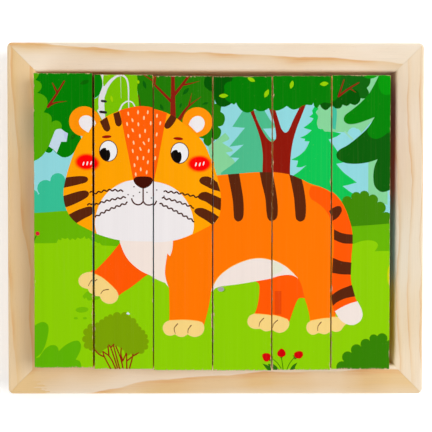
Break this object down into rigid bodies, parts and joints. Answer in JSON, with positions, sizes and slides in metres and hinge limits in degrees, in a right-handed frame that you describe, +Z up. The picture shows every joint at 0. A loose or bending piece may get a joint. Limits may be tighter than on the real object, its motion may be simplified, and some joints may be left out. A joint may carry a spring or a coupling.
{
  "type": "wooden strip picture puzzle",
  "caption": "Shallow pine tray with mitred rails holding loose square printed wooden sticks side by side; lifted out, turned and reordered, they make up different pictures.",
  "frame": {"origin": "under the middle of the tray, on the surface it stands on", "axes": "+X across the sticks, from the first to the last; +Y along the sticks, away from the near rail; +Z up, the way a stick lifts out"},
  "size_m": [0.1466, 0.1238, 0.0255],
  "materials": {
    "pine": "smooth sanded pine under a thin matt varnish",
    "plywood": "fine sanded plywood, unpainted",
    "printed_wood": "solid pale wood with bright ink printed straight on four sides, satin, bare on the ends",
    "steel": "plain wire pin"
  },
  "bodies": {
    "tray": {"rail_near": "pine", "rail_right": "pine", "rail_far": "pine", "rail_left": "pine", "base_board": "plywood", "pin_near_left_lower": "steel", "pin_near_left_upper": "steel", "pin_near_right_lower": "steel", "pin_near_right_upper": "steel", "pin_far_left_lower": "steel", "pin_far_left_upper": "steel", "pin_far_right_lower": "steel", "pin_far_right_upper": "steel"},
    "stick_1": {"stick_1": "printed_wood"},
    "stick_2": {"stick_2": "printed_wood"},
    "stick_3": {"stick_3": "printed_wood"},
    "stick_4": {"stick_4": "printed_wood"},
    "stick_5": {"stick_5": "printed_wood"},
    "stick_6": {"stick_6": "printed_wood"}
  },
  "joints": [
    {"name": "lift_stick_1", "type": "slide", "parent": "tray", "child": "stick_1", "axis": [0, 0, 1], "range_m": [0, 0.03]},
    {"name": "lift_stick_2", "type": "slide", "parent": "tray", "child": "stick_2", "axis": [0, 0, 1], "range_m": [0, 0.03]},
    {"name": "lift_stick_3", "type": "slide", "parent": "tray", "child": "stick_3", "axis": [0, 0, 1], "range_m": [0, 0.03]},
    {"name": "lift_stick_4", "type": "slide", "parent": "tray", "child": "stick_4", "axis": [0, 0, 1], "range_m": [0, 0.03]},
    {"name": "lift_stick_5", "type": "slide", "parent": "tray", "child": "stick_5", "axis": [0, 0, 1], "range_m": [0, 0.03]},
    {"name": "lift_stick_6", "type": "slide", "parent": "tray", "child": "stick_6", "axis": [0, 0, 1], "range_m": [0, 0.03]}
  ]
}
